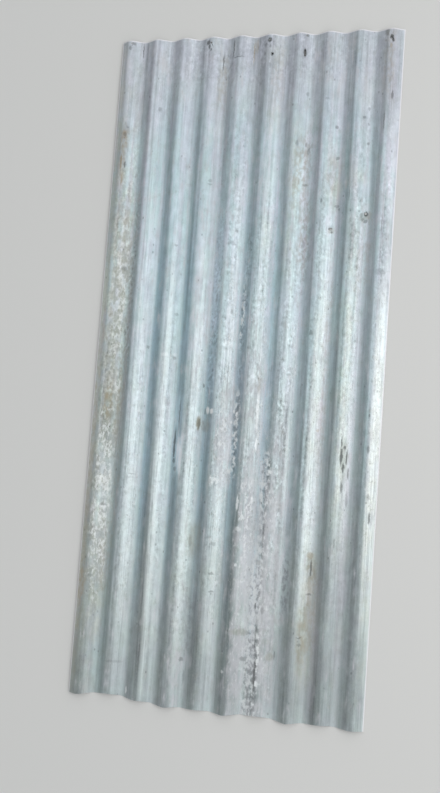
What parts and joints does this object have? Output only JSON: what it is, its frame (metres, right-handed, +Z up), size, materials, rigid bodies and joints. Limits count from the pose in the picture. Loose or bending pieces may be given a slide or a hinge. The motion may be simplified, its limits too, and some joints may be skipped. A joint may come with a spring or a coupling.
{
  "type": "corrugated metal sheet",
  "caption": "Salvaged corrugated roofing sheet in galvanised steel, rolled from one piece, with nail holes near one end and a rough hand-cut foot.",
  "frame": {"origin": "middle of the sheet at the level of the valleys' undersides, on which it lies", "axes": "+X across the corrugations, +Y along them towards the head end with the nail holes, +Z up, out of the weather side"},
  "size_m": [0.6604, 1.524, 0.0132],
  "materials": {
    "galvanised_steel": "weathered zinc, dull grey with white rust and brown stains"
  },
  "bodies": {
    "root": {"corrugated_sheet": "galvanised_steel"}
  },
  "joints": []
}
